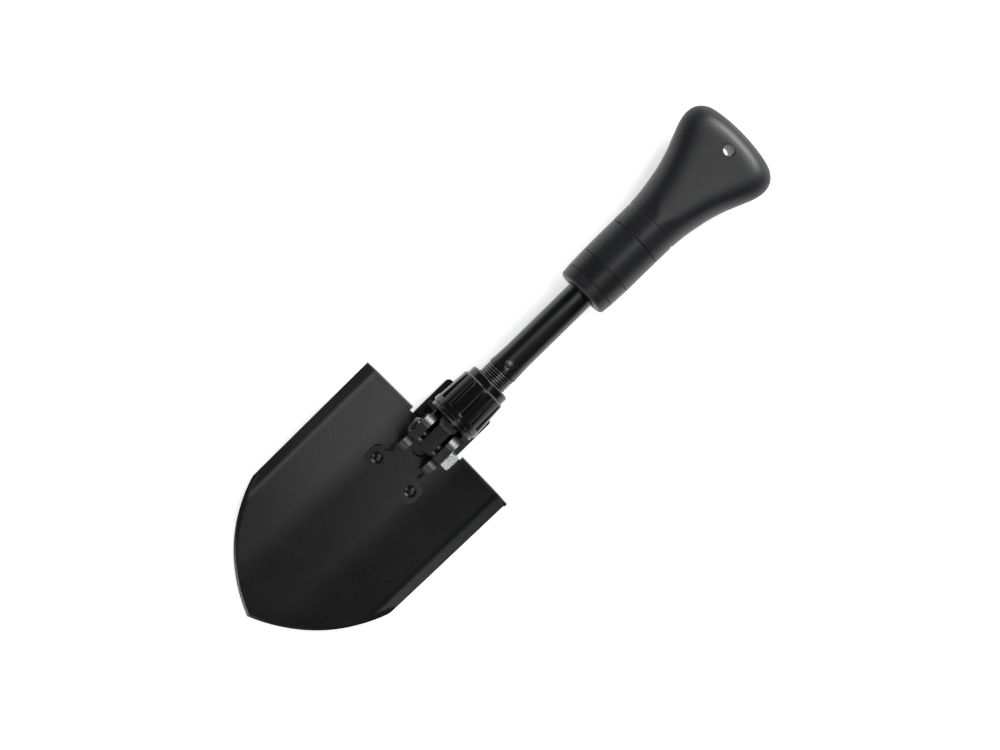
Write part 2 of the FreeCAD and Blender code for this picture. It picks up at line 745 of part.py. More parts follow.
def make_tongue():
    body = new_body("tongue")
    side = sketch_on(body, ALONG)
    outline(
        side,
        [
            ("-tongue_front_x", "-tongue_high"),
            ("boss_x", "-tongue_high"),
            ("boss_x + 2", "-boss_high"),
            ("boss_end_x", "-boss_high"),
            ("boss_end_x", "boss_high"),
            ("boss_x + 2", "boss_high"),
            ("boss_x", "tongue_high"),
            ("-tongue_front_x", "tongue_high"),
        ],
    )
    pad(body, side, "2 * tongue_half", both_ways=True)
    shoulder = sketch_on(body, PLAN)
    outline(
        shoulder,
        [
            ("boss_x", "-tongue_half"),
            ("boss_x + 2", "-boss_half"),
            ("boss_end_x", "-boss_half"),
            ("boss_end_x", "boss_half"),
            ("boss_x + 2", "boss_half"),
            ("boss_x", "tongue_half"),
        ],
    )
    pad(body, shoulder, "2 * boss_high", both_ways=True)
    root = sketch_on(body, ACROSS, "boss_end_x")
    circle(root, "0", "0", "spigot_r")
    pad(body, root, "spigot_end_x - boss_end_x")
    sides = sketch_on(body, PLAN)
    for side in ("", "-"):
        outline(
            sides,
            [
                ("boss_end_x", f"{side}guide_neck_half"),
                ("ear_clear_x", f"{side}guide_neck_half"),
                ("ear_clear_x", f"{side}spigot_flat"),
                ("spigot_end_x + 5", f"{side}spigot_flat"),
                ("spigot_end_x + 5", f"{side}(spigot_r + 5)"),
                ("boss_end_x", f"{side}(spigot_r + 5)"),
            ],
        )
    pocket(body, sides)
    plug = sketch_on(body, ACROSS, "spigot_end_x")
    circle(plug, "0", "0", "tube_bore_r - fit_gap")
    pad(body, plug, "plug_end_x - spigot_end_x")
    pivot = sketch_on(body, ALONG)
    circle(pivot, "0", "0", "bush_r")
    pocket(body, pivot)
    pin = sketch_on(body, PLAN)
    circle(pin, "pin_x", "0", "pin_r")
    pocket(body, pin)
    return body


def make_pivot_bushes():
    body = turned(
        "pivot_bush",
        [
            ("bolt_hole_r", "0.05"),
            ("bush_r", "0.05"),
            ("bush_r", "tongue_half"),
            ("bush_flange_r", "tongue_half"),
            ("bush_flange_r", "bush_face"),
            ("bolt_hole_r", "bush_face"),
        ],
        PLAN, "V_Axis",
    )
    return mirrored_pair("pivot_bushes", body)


def spin_line(sketch, start, end, height):
    """A construction line to turn a profile about."""
    ends = [Vector(value(along), value(height), 0) for along in (start, end)]
    spin = sketch.addGeometry(Part.LineSegment(*ends), True)
    fix_point(sketch, spin, 1, start, height)
    fix_point(sketch, spin, 2, end, height)


def cut_channel(body, side):
    """One shallow channel along the tube, with an end shaped like a spoon."""
    channel = sketch_on(body, ALONG)
    axis = f"{side}(channel_floor + channel_r)"
    floor = f"{side}channel_floor"
    end = "tube_end_x + 5"
    outline(
        channel,
        [
            ("channel_x - channel_r", axis),
            (end, axis),
            (end, floor),
            ("channel_x", floor),
        ],
        {3: ("channel_r", side == "-")},
    )
    spin_line(channel, "channel_x - channel_r", end, axis)
    groove(body, channel, "Axis0")


def make_shaft_tube():
    body = turned(
        "shaft_tube",
        [
            ("spigot_end_x", "tube_bore_r"),
            ("tube_end_x", "tube_bore_r"),
            ("tube_end_x", "tube_r - 0.4"),
            ("tube_end_x - 0.4", "tube_r"),
            ("taper_end_x", "tube_r"),
            ("thread_end_x", "thread_r - 0.15"),
            ("thread_end_x", "thread_r"),
            ("spigot_end_x + 0.8", "thread_r"),
            ("spigot_end_x", "thread_r - 0.8"),
        ],
    )
    for side in ("", "-"):
        cut_channel(body, side)
    pins = sketch_on(body, PLAN)
    circle(pins, "pin_x", "0", "pin_r")
    circle(pins, "stop_pin_x", "0", "stop_pin_r")
    pocket(body, pins)

    profile = sketch_on(body, ALONG)
    start = "spigot_end_x - 2 * thread_pitch"
    outline(
        profile,
        [
            (f"{start} - 0.12 * thread_pitch", "thread_r - thread_deep"),
            (f"{start} + 0.12 * thread_pitch", "thread_r - thread_deep"),
            (f"{start} + 0.36 * thread_pitch", "thread_r + 0.05"),
            (f"{start} - 0.36 * thread_pitch", "thread_r + 0.05"),
        ],
    )
    volume = body.Shape.Volume
    thread = feature(body, "SubtractiveHelix", profile)
    thread.ReferenceAxis = (profile, ["H_Axis"])
    thread.Mode = "pitch-height-angle"
    thread.Pitch = value("thread_pitch")
    thread.Height = value("thread_end_x - spigot_end_x + thread_pitch")
    bind(thread, "Pitch", "thread_pitch")
    bind(thread, "Height", "thread_end_x - spigot_end_x + thread_pitch")
    check_cut(body, thread, volume)
    return body


def make_tongue_pin():
    body = new_body("tongue_pin")
    sketch = sketch_on(body, PLAN)
    circle(sketch, "pin_x", "0", "pin_r")
    circle(sketch, "pin_x", "0", "pin_r - 0.8")
    pad(body, sketch, "2 * (thread_r - thread_deep - 0.2)", both_ways=True)
    return body


def make_stop_bush():
    body = new_body("stop_bush")
    ring = sketch_on(body, ACROSS, "stop_start_x")
    circle(ring, "0", "0", "stop_r")
    pad(body, ring, "tube_end_x - stop_start_x")
    keys = sketch_on(body, ACROSS, "stop_start_x")
    rectangle(keys, "-key_r", "key_r", "-key_half", "key_half")
    pad(body, keys, "tube_end_x - stop_start_x")
    bore = sketch_on(body, ACROSS, "stop_start_x")
    circle(bore, "0", "0", "tube_r + fit_gap")
    pocket(body, bore)
    pin = sketch_on(body, PLAN)
    circle(pin, "stop_pin_x", "0", "stop_pin_r")
    pocket(body, pin)
    return body


def make_stop_pin():
    body = new_body("stop_pin")
    sketch = sketch_on(body, PLAN)
    circle(sketch, "stop_pin_x", "0", "stop_pin_r")
    pad(body, sketch, "2 * (stop_r - 0.1)", both_ways=True)
    return body


# ---------------------------------------------------------------- locking ring and collar

def make_lock_ring():
    body = turned(
        "lock_ring",
        [
            ("ring_face_x", "ring_bore_r - 3"),
            ("ring_face_x", "ring_r - 0.4"),
            ("ring_face_x + 0.4", "ring_r"),
            ("ring_face_x + 0.9", "ring_r"),
            ("ring_face_x + 1.15", "ring_r - 0.3"),
            ("ring_face_x + 1.4", "ring_r"),
            ("ring_back_x", "ring_r"),
            ("ring_back_x", "hub_r"),
            ("snap_x", "hub_r"),
            ("snap_x", "snap_bore_r"),
            ("snap_x + snap_sheet", "snap_bore_r"),
            ("snap_x + snap_sheet", "hub_r"),
            ("hub_end_x", "hub_r"),
            ("hub_end_x", "ring_bore_r - 3"),
        ],
    )
    bore = sketch_on(body, ACROSS)
    half = "sqrt(ring_bore_r ^ 2 - ring_flat ^ 2)"
    outline(
        bore,
        [
            ("ring_flat", f"-{half}"),
            ("ring_flat", half),
            ("-ring_flat", half),
            ("-ring_flat", f"-{half}"),
        ],
        {1: ("ring_bore_r", True), 3: ("ring_bore_r", True)},
    )
    pocket(body, bore)
    return body


def ring(label, low_x, high_x, bore, radius):
    return turned(label, [(low_x, bore), (high_x, bore), (high_x, radius), (low_x, radius)])


def make_snap_ring():
    front = "snap_x + fit_gap"
    back = "snap_x + snap_sheet - fit_gap"
    body = ring("retaining_ring", front, back, "snap_bore_r + fit_gap", "snap_r")
    gap = sketch_on(body, ACROSS)
    rectangle(gap, "-2", "2", "-snap_r - 1", "-snap_bore_r + 1")
    pocket(body, gap)
    return body


def make_locking_collar():
    body = turned(
        "locking_collar",
        [
            ("collar_x", "core_r"),
            ("collar_x", "flange_r - 0.6"),
            ("collar_x + 0.6", "flange_r"),
            ("flange_end_x - 0.8", "flange_r"),
            ("flange_end_x", "collar_r"),
            ("collar_end_x - 1.2", "collar_end_r + 0.05"),
            ("collar_end_x", "core_ring_r + 0.2"),
            ("collar_end_x", "core_r"),
            ("core_x", "core_r"),
            ("core_x", "recess_r"),
            ("recess_x", "recess_r"),
            ("recess_x", "core_r"),
        ],
    )
    cutter = sketch_on(body, ALONG)
    top = "flute_centre_r + flute_r"
    outline(
        cutter,
        [
            ("flange_end_x", "flute_centre_r"),
            ("flute_end_x", "flute_centre_r"),
            ("flute_end_x - flute_r", top),
            ("flange_end_x", top),
        ],
        {1: ("flute_r", True)},
    )
    spin_line(cutter, "flange_end_x", "flute_end_x", "flute_centre_r")
    flute = groove(body, cutter, "Axis0")
    pattern = body.newObject("PartDesign::PolarPattern", "flutes")
    pattern.Originals = [flute]
    pattern.Axis = (cutter, ["H_Axis"])
    pattern.Angle = 360
    pattern.Occurrences = int(value("flutes"))
    body.Tip = pattern
    doc.recompute()
    return body


def make_collar_core():
    return turned(
        "collar_core",
        [
            ("core_x", "core_bore_r + 0.6"),
            ("core_x + 0.6", "core_bore_r"),
            ("core_end_x - 0.6", "core_bore_r"),
            ("core_end_x", "core_bore_r + 0.6"),
            ("core_end_x", "core_ring_r - 1"),
            ("core_end_x - 1", "core_ring_r"),
            ("collar_end_x + fit_gap", "core_ring_r"),
            ("collar_end_x + fit_gap", "core_r - fit_gap"),
            ("core_x", "core_r - fit_gap"),
        ],
    )


# ---------------------------------------------------------------- twist lock and grip

def make_end_cap():
    return turned(
        "end_cap",
        [
            ("cap_x", "cap_bore_r + 0.8"),
            ("cap_x", "cap_r - 1"),
            ("cap_x + 1", "cap_r"),
            ("cap_end_x - 0.25", "cap_end_r"),
            ("cap_end_x - 0.25", "skirt_r + fit_gap"),
            ("skirt_x - fit_gap", "skirt_r + fit_gap"),
            ("skirt_x - fit_gap", "seal_r + fit_gap"),
            ("seal_x - 0.1", "seal_r + fit_gap"),
            ("seal_x - 0.1", "cap_bore_r"),
            ("cap_x + 0.8", "cap_bore_r"),
        ],
    )


def make_band_ring():
    return turned(
        "band_ring",
        [
            ("cap_end_x", "skirt_r + fit_gap"),
            ("cap_end_x", "cap_end_r - 0.3"),
            ("cap_end_x + 0.3", "cap_end_r"),
            ("band_end_x - 0.3", "band_end_r"),
            ("band_end_x", "band_end_r - 0.3"),
            ("band_end_x", "skirt_r + fit_gap"),
        ],
    )


def make_twist_collar():
    return turned(
        "twist_collar",
        [
            ("skirt_x", "seat_r"),
            ("skirt_x", "skirt_r"),
            ("band_end_x + 0.25", "skirt_r"),
            ("band_end_x + 0.25", "band_end_r - 0.3"),
            ("band_end_x + 0.55", "band_end_r"),
            ("twist_end_x - 0.4", "grip_r"),
            ("twist_end_x", "grip_r - 0.4"),
            ("twist_end_x", "grit_bore_r"),
            ("grit_x - 0.2", "grit_bore_r"),
            ("grit_x - 0.2", "nut_bore_r"),
            ("seat_end_x", "nut_bore_r"),
            ("seat_end_x", "seat_end_r"),
            ("seat_x", "seat_r"),
        ],
    )


def make_wiper_seal():
    return ring("wiper_seal", "seal_x", "seal_end_x", "seal_bore_r", "seal_r")


def make_grit_seal():
    return ring("grit_seal", "grit_x", "grit_end_x", "neck_r + fit_gap", "grit_r")


def make_collet():
    body = new_body("collet")
    cone = sketch_on(body, ALONG)
    outline(
        cone,
        [
            ("collet_x", "0"),
            ("collet_x", "collet_r"),
            ("collet_end_x - 1", "collet_end_r"),
            ("collet_end_x", "collet_end_r"),
            ("collet_end_x", "0"),
        ],
    )
    revolve(body, cone)
    bore = sketch_on(body, ACROSS)
    circle(bore, "0", "0", "collet_bore_r")
    pocket(body, bore)
    slot = sketch_on(body, PLAN)
    rectangle(slot, "collet_x - 1", "collet_slot_end_x", "-collet_slot / 2", "collet_slot / 2")
    cut = pocket(body, slot)
    pattern = body.newObject("PartDesign::PolarPattern", "slots")
    pattern.Originals = [cut]
    pattern.Axis = (cone, ["H_Axis"])
    pattern.Angle = 360
    pattern.Occurrences = 6
    body.Tip = pattern
    doc.recompute()
    return body


# Turns a primitive's Z onto the shaft's X and its X onto Y.
ON_THE_SHAFT = Rotation(Vector(1, 1, 1), 120)


def rod(label, start, end, radius):
    cylinder = doc.addObject("Part::Cylinder", label)
    cylinder.Radius = value(radius)
    cylinder.Height = value(f"{end} - ({start})")
    bind(cylinder, "Radius", radius)
    bind(cylinder, "Height", f"{end} - ({start})")
    cylinder.Placement = Placement(Vector(value(start), 0, 0), ON_THE_SHAFT)
    bind(cylinder, "Placement.Base.x", start)
    return cylinder


def block(label, corner, sizes):
    box = doc.addObject("Part::Box", label)
    for name, text in zip(("Length", "Width", "Height"), sizes):
        setattr(box, name, value(text))
        bind(box, name, text)
    box.Placement = Placement(Vector(*(value(text) for text in corner)), Rotation())
    for name, text in zip("xyz", corner):
        bind(box, f"Placement.Base.{name}", text)
    return box


def joined(label, pieces):
    fuse = doc.addObject("Part::MultiFuse", label)
    fuse.Shapes = pieces
    return fuse


def without(label, base, tool):
    cut = doc.addObject("Part::Cut", label)
    cut.Base = base
    cut.Tool = tool
    return cut


def make_grip():
    sections = []
    for index in range(len(GRIP_SECTIONS)):
        ellipse = doc.addObject("Part::Ellipse", f"grip_section_{index}")
        ellipse.MajorRadius = value(f"section_{index}_width")
        ellipse.MinorRadius = value(f"section_{index}_thick")
        bind(ellipse, "MajorRadius", f"section_{index}_width")
        bind(ellipse, "MinorRadius", f"section_{index}_thick")
        ellipse.Placement = Placement(Vector(value(f"section_{index}_along"), 0, 0), ON_THE_SHAFT)
        bind(ellipse, "Placement.Base.x", f"section_{index}_along")
        sections.append(ellipse)
    flare = doc.addObject("Part::Loft", "grip_flare")
    flare.Sections = sections
    flare.Solid = True
    flare.Ruled = False
    solid = joined("grip_solid", [flare, rod("grip_neck", "neck_x", "grip_x + 1", "neck_r")])
    bore = rod("grip_bore", "neck_x - 1", "bore_end_x", "bore_r")
    keyways = block(
        "grip_keyways",
        ("neck_x - 1", "-keyway_r", "-keyway_half"),
        ("bore_end_x - neck_x + 1", "2 * keyway_r", "2 * keyway_half"),
    )
    lanyard = doc.addObject("Part::Cylinder", "grip_lanyard_hole")
    lanyard.Radius = value("lanyard_r")
    lanyard.Height = 60
    lanyard.Placement = Placement(Vector(value("lanyard_x"), 0, -30), Rotation())
    bind(lanyard, "Radius", "lanyard_r")
    bind(lanyard, "Placement.Base.x", "lanyard_x")
    facet = block("grip_facet", ("facet_x", "-40", "grip_r"), ("90", "80", "20"))
    facet.Placement = Placement(
        facet.Placement.Base, Rotation(Vector(0, 1, 0), value("facet_pitch"))
    )
    bind(facet, "Placement.Rotation.Angle", "facet_pitch * 1 deg")
    groove_ring = without(
        "grip_groove",
        rod("grip_groove_outside", "groove_x", "groove_end_x", "grip_r + 5"),
        rod("grip_groove_inside", "groove_x - 1", "groove_end_x + 1", "grip_r + 0.25 - groove_deep"),
    )
    removed = joined("grip_removed", [bore, keyways, lanyard, facet, groove_ring])
    grip = without("grip", solid, removed)
    grip.Label = "grip"
    lay_down(grip)
    doc.recompute()
    return grip


# ---------------------------------------------------------------- build and export

def make_all():
    return [
        make_blade(),
        make_front_bracket(),
        make_hammer_yoke(),
        make_rivets(),
        make_pivot_bolt(),
        make_pivot_nut(),
        make_pivot_washer(),
        make_tongue(),
        make_pivot_bushes(),
        make_shaft_tube(),
        make_tongue_pin(),
        make_stop_bush(),
        make_stop_pin(),
        make_lock_ring(),
        ring("thrust_washer", "ring_back_x", "ring_back_x + thrust_sheet", "hub_r", "thrust_r"),
        make_snap_ring(),
        make_locking_collar(),
        make_collar_core(),
        make_end_cap(),
        make_band_ring(),
        make_twist_collar(),
        make_wiper_seal(),
        make_grit_seal(),
        make_collet(),
        make_grip(),
    ]


def check(nodes):
    doc.recompute()
    failed = [item.Label for item in doc.Objects if {"Invalid", "Error"} & set(item.State)]
    if failed:
        raise RuntimeError(f"failed objects: {failed}")
    for node in nodes:
        if node.Shape.isNull() or not node.Shape.isValid() or not node.Shape.Solids:
            raise RuntimeError(f"{node.Label}: no valid solid")


nodes = make_all()
check(nodes)
os.makedirs("parts", exist_ok=True)
whole = FreeCAD.BoundBox()
for node in nodes:
    node.Shape.exportStep(f"parts/{node.Label}.step")
    whole.add(node.Shape.BoundBox)
    print(f"{node.Label:16s} {len(node.Shape.Solids)} solid, {node.Shape.Volume:9.1f} mm3")
print(f"box {whole.XMin:.2f} {whole.YMin:.2f} {whole.ZMin:.2f} to "
      f"{whole.XMax:.2f} {whole.YMax:.2f} {whole.ZMax:.2f}")
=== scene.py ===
import json
import math

import bmesh
import bpy
from mathutils import Matrix, Vector


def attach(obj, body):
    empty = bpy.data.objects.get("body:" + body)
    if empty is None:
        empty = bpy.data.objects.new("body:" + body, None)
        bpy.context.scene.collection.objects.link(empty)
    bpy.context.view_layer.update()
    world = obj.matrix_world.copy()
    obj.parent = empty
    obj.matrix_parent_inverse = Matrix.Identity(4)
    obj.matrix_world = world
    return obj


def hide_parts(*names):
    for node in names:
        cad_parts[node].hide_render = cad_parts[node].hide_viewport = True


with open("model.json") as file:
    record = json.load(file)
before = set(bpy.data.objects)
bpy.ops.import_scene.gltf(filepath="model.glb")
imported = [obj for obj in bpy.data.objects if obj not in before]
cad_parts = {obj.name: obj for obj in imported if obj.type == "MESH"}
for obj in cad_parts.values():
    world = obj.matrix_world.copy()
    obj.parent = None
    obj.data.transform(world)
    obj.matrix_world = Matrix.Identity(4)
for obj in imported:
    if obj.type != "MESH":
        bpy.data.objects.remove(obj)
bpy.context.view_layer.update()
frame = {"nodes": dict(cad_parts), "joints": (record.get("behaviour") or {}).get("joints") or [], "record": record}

MM = 0.001

# ---------------------------------------------------------------- the shovel's own axes

joints = {joint["name"]: joint for joint in frame["joints"]}
pivot = Vector(joints["blade_fold"]["pos_m"])
along = Vector(joints["lock_slide"]["axis"])
tilt = math.atan2(-along.z, along.x)
BLADE_PITCH = math.radians(6.5)
SHAFT = Matrix.Translation(pivot) @ Matrix.Rotation(tilt, 4, "Y") @ Matrix.Scale(MM, 4)
BLADE = (
    Matrix.Translation(pivot)
    @ Matrix.Rotation(tilt - BLADE_PITCH, 4, "Y")
    @ Matrix.Scale(MM, 4)
)

THREAD_R, LAST_CREST, CREST_BAND = 9.86, 59.8, 0.12


# ---------------------------------------------------------------- material nodes

class Nodes:
    """Short names for building one procedural material."""

    def __init__(self, name):
        self.material = bpy.data.materials.new(name)
        self.material.use_nodes = True
        self.tree = self.material.node_tree
        self.shader = self.tree.nodes["Principled BSDF"]
        self.place = self.tree.nodes.new("ShaderNodeTexCoord").outputs["Object"]

    def add(self, kind, **settings):
        node = self.tree.nodes.new("ShaderNode" + kind)
        for name, value in settings.items():
            setattr(node, name, value)
        return node

    def join(self, source, target):
        self.tree.links.new(source, target)

    def noise(self, scale, detail=3.0, roughness=0.5, stretch=None):
        node = self.add("TexNoise")
        node.inputs["Scale"].default_value = scale
        node.inputs["Detail"].default_value = detail
        node.inputs["Roughness"].default_value = roughness
        place = self.place
        if stretch:
            mapping = self.add("Mapping")
            mapping.inputs["Scale"].default_value = stretch
            self.join(place, mapping.inputs["Vector"])
            place = mapping.outputs["Vector"]
        self.join(place, node.inputs["Vector"])
        return node.outputs["Fac"]

    def remap(self, source, low, high, to_low, to_high):
        node = self.add("MapRange")
        for name, value in zip(
            ("From Min", "From Max", "To Min", "To Max"), (low, high, to_low, to_high)
        ):
            node.inputs[name].default_value = value
        self.join(source, node.inputs["Value"])
        return node.outputs["Result"]

    def mix_colour(self, factor, first, second):
        node = self.add("Mix", data_type="RGBA")
        self.join(factor, node.inputs["Factor"])
        for socket, colour in ((node.inputs[6], first), (node.inputs[7], second)):
            if isinstance(colour, tuple):
                socket.default_value = (*colour, 1.0)
            else:
                self.join(colour, socket)
        return node.outputs[2]

    def multiply(self, first, second):
        node = self.add("Math", operation="MULTIPLY")
        self.join(first, node.inputs[0])
        self.join(second, node.inputs[1])
        return node.outputs[0]

    def edges(self, radius, low, high):
        """1 on the piece's edges and 0 elsewhere, for edges rounded to radius mm."""
        rounded = self.add("Bevel", samples=4)
        rounded.inputs["Radius"].default_value = radius * MM
        facing = self.add("VectorMath", operation="DOT_PRODUCT")
        self.join(rounded.outputs["Normal"], facing.inputs[0])
        self.join(self.add("NewGeometry").outputs["Normal"], facing.inputs[1])
        return self.remap(facing.outputs["Value"], high, low, 0.0, 1.0)

    def bump(self, *layers):
        normal = None
        for height, strength, distance in layers:
            node = self.add("Bump")
            node.inputs["Strength"].default_value = strength
            node.inputs["Distance"].default_value = distance
            self.join(height, node.inputs["Height"])
            if normal:
                self.join(normal, node.inputs["Normal"])
            normal = node.outputs["Normal"]
        self.join(normal, self.shader.inputs["Normal"])

    def set(self, **values):
        for name, value in values.items():
            self.shader.inputs[name.replace("_", " ")].default_value = value


def powder_coat():
    """Satin black powder coat: fine orange peel, faint cloudiness, and thin lighter grey on the edges in patches,
    partly edge wear and partly a painted edge highlight.
    """
    made = Nodes("powder_coat")
    cloud = made.noise(38, 4)
    peel = made.noise(1500, 2, 0.6)
    specks = made.noise(5200, 2, 0.7)
    # lighter grey on the edges in patches: partly edge wear, partly a painted edge highlight
    edge_wear_and_highlight = made.multiply(made.edges(0.5, 0.72, 0.96), made.remap(made.noise(260), 0.4, 0.62, 0, 1))
    base = made.mix_colour(cloud, (0.0058, 0.0060, 0.0068), (0.0086, 0.0089, 0.0100))
    made.join(made.mix_colour(edge_wear_and_highlight, base, (0.062, 0.062, 0.064)), made.shader.inputs["Base Color"])
    made.join(made.remap(cloud, 0.3, 0.7, 0.25, 0.29), made.shader.inputs["Roughness"])
    made.bump((peel, 0.10, 0.00005), (specks, 0.12, 0.00002))
    return made


def gloss_black():
    """Smooth black finish of the collar, with streaky roughness and lighter grey on the rib edges, partly edge
    wear and partly a painted edge highlight.
    """
    made = Nodes("gloss_black")
    cloud = made.noise(70, 3)
    streak_noise = made.noise(700, 3, 0.6, (0.25, 1, 1))
    # lighter grey on the edges in streaky patches: partly edge wear, partly a painted edge highlight
    edge_wear_and_highlight = made.multiply(made.edges(0.3, 0.70, 0.96), made.remap(streak_noise, 0.42, 0.6, 0, 1))
    base = made.mix_colour(cloud, (0.0040, 0.0041, 0.0046), (0.0064, 0.0066, 0.0072))
    made.join(made.mix_colour(edge_wear_and_highlight, base, (0.08, 0.08, 0.082)), made.shader.inputs["Base Color"])
    made.join(made.remap(streak_noise, 0.3, 0.7, 0.11, 0.18), made.shader.inputs["Roughness"])
    made.bump((made.noise(2400, 2), 0.06, 0.00002))
    return made


def dark_steel():
    """Black oxidised steel, drawn along the shaft."""
    made = Nodes("dark_steel")
    drawn = made.noise(420, 4, 0.6, (0.04, 1, 1))
    cloud = made.noise(60, 4)
    # lighter grey on the edges in patches: partly edge wear, partly a painted edge highlight
    edge_wear_and_highlight = made.multiply(made.edges(0.3, 0.70, 0.96), made.remap(made.noise(520), 0.4, 0.6, 0, 1))
    base = made.mix_colour(cloud, (0.0046, 0.0047, 0.0052), (0.0078, 0.0080, 0.0086))
    made.join(made.mix_colour(edge_wear_and_highlight, base, (0.07, 0.07, 0.072)), made.shader.inputs["Base Color"])
    made.join(made.remap(drawn, 0.3, 0.7, 0.19, 0.27), made.shader.inputs["Roughness"])
    made.bump((drawn, 0.10, 0.00002))
    return made


def zinc():
    made = Nodes("bright_zinc")
    cloud = made.noise(900, 4)
    turned = made.noise(3000, 3, 0.5, (0.2, 1, 0.2))
    base = made.mix_colour(cloud, (0.34, 0.345, 0.35), (0.46, 0.465, 0.48))
    made.join(base, made.shader.inputs["Base Color"])
    made.join(made.remap(turned, 0.3, 0.7, 0.22, 0.38), made.shader.inputs["Roughness"])
    made.set(Metallic=1.0)
    made.bump((turned, 0.12, 0.00002))
    return made


def bare_steel():
    made = Nodes("bare_steel")
    drawn = made.noise(1500, 3, 0.5, (0.1, 1, 1))
    base = made.mix_colour(drawn, (0.36, 0.36, 0.37), (0.48, 0.48, 0.49))
    made.join(base, made.shader.inputs["Base Color"])
    made.join(made.remap(drawn, 0.3, 0.7, 0.25, 0.42), made.shader.inputs["Roughness"])
    made.set(Metallic=1.0)
    made.bump((drawn, 0.1, 0.00002))
    return made


def painted_crest_highlight_steel():
    """Light metallic steel for the thread's crests: painted highlight lines along the crests."""
    made = Nodes("painted_crest_highlight_steel")
    drawn = made.noise(900, 3, 0.5, (0.3, 1, 1))
    base = made.mix_colour(drawn, (0.13, 0.132, 0.136), (0.25, 0.252, 0.258))
    made.join(base, made.shader.inputs["Base Color"])
    made.set(Metallic=0.8, Roughness=0.3)
    return made


def nylon(name, low, high, roughness, grain):
    """Glass-filled nylon with a fine spark-eroded grain."""
    made = Nodes(name)
    cloud = made.noise(45, 4)
    fine = made.noise(2600, 3, 0.65)
    pits = made.noise(6400, 2, 0.7)
    base = made.mix_colour(cloud, low, high)
    # lighter grey on the edges in patches: partly edge wear, partly a painted edge highlight
    edge_wear_and_highlight = made.multiply(made.edges(0.4, 0.70, 0.96), made.remap(made.noise(330), 0.45, 0.62, 0, 1))
    made.join(made.mix_colour(edge_wear_and_highlight, base, (0.035, 0.036, 0.038)), made.shader.inputs["Base Color"])
    made.join(
        made.remap(fine, 0.3, 0.7, roughness - 0.05, roughness + 0.07),
        made.shader.inputs["Roughness"],
    )
    made.set(Specular_IOR_Level=0.36)
    made.bump(
        (made.noise(1150, 2, 0.6), grain, 0.00008),
        (fine, grain, 0.00006),
        (pits, grain, 0.00003),
    )
    return made


def rubber():
    made = Nodes("seal_rubber")
    fine = made.noise(1800, 3)
    base = made.mix_colour(fine, (0.012, 0.012, 0.012), (0.02, 0.02, 0.02))
    made.join(base, made.shader.inputs["Base Color"])
    made.join(made.remap(fine, 0.3, 0.7, 0.6, 0.75), made.shader.inputs["Roughness"])
    made.bump((fine, 0.2, 0.00005))
    return made


FINISHES = {
    "blade_coat": powder_coat(),
    "dark_steel": dark_steel(),
    "collar_black": gloss_black(),
    "zinc": zinc(),
    "plain_steel": bare_steel(),
    "handle_nylon": nylon(
        "handle_nylon", (0.0082, 0.0086, 0.0098), (0.0128, 0.0132, 0.0146), 0.38, 0.22
    ),
    "band_nylon": nylon(
        "band_nylon", (0.0070, 0.0073, 0.0080), (0.0106, 0.0109, 0.0119), 0.34, 0.12
    ),
    "seal_rubber": rubber(),
}
# lighter steel for the thread's crests: painted highlight lines
PAINTED_CREST_HIGHLIGHT = painted_crest_highlight_steel()
slot_of = {part["node"]: part["material_slot"] for part in frame["record"]["subparts"]}
body_of = {
    node: body
    for body, members in frame["record"]["behaviour"]["bodies"].items()
    for node in members
}


# ---------------------------------------------------------------- pieces

def take_finish(piece, slot):
    piece.data.materials.clear()
    piece.data.materials.append(FINISHES[slot].material)


def add_piece(name, mesh, node):
    """A new mesh, already in the row frame, that stands for a CAD node."""
    piece = bpy.data.objects.new(name, mesh)
    bpy.context.scene.collection.objects.link(piece)
    take_finish(piece, slot_of[node])
    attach(piece, body_of[node])
    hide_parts(node)
    return piece


def mesh_of(name, bm, matrix=None):
    if matrix:
        bm.transform(matrix)
    bmesh.ops.recalc_face_normals(bm, faces=bm.faces)
    mesh = bpy.data.meshes.new(name)
    bm.to_mesh(mesh)
    bm.free()
    return mesh


def smooth_faces(piece):
    for face in piece.data.polygons:
        face.use_smooth = True


def round_edges(piece, width, angle):
    bevel = piece.modifiers.new("rounded", "BEVEL")
    bevel.width = width * MM
    bevel.segments = 2
    bevel.limit_method = "ANGLE"
    bevel.angle_limit = math.radians(angle)
    bevel.use_clamp_overlap = True
    bevel.harden_normals = True


def soften(node, width, angle=28):
    """The CAD node's own shape with its hard edges rounded over."""
    bm = bmesh.new()
    bm.from_mesh(frame["nodes"][node].data)
    bmesh.ops.remove_doubles(bm, verts=bm.verts, dist=2e-6)
    bmesh.ops.dissolve_limit(
        bm, angle_limit=math.radians(0.6), verts=bm.verts, edges=bm.edges
    )
    for face in bm.faces:
        face.smooth = True
    piece = add_piece(f"{node}_soft", mesh_of(f"{node}_soft", bm), node)
    round_edges(piece, width, angle)
    settle = piece.modifiers.new("settled", "WEIGHTED_NORMAL")
    settle.mode = "FACE_AREA"
    settle.weight = 90
    return piece


def paint_crest_highlights(piece):
    """Give the thread's crests the lighter steel: painted highlight lines along the crests."""
    piece.data.materials.append(PAINTED_CREST_HIGHLIGHT.material)
    to_shaft = SHAFT.inverted()
    for face in piece.data.polygons:
        place = to_shaft @ face.center
        out = math.hypot(place.y, place.z)
        if place.x < LAST_CREST and out > THREAD_R - CREST_BAND:
            face.material_index = 1


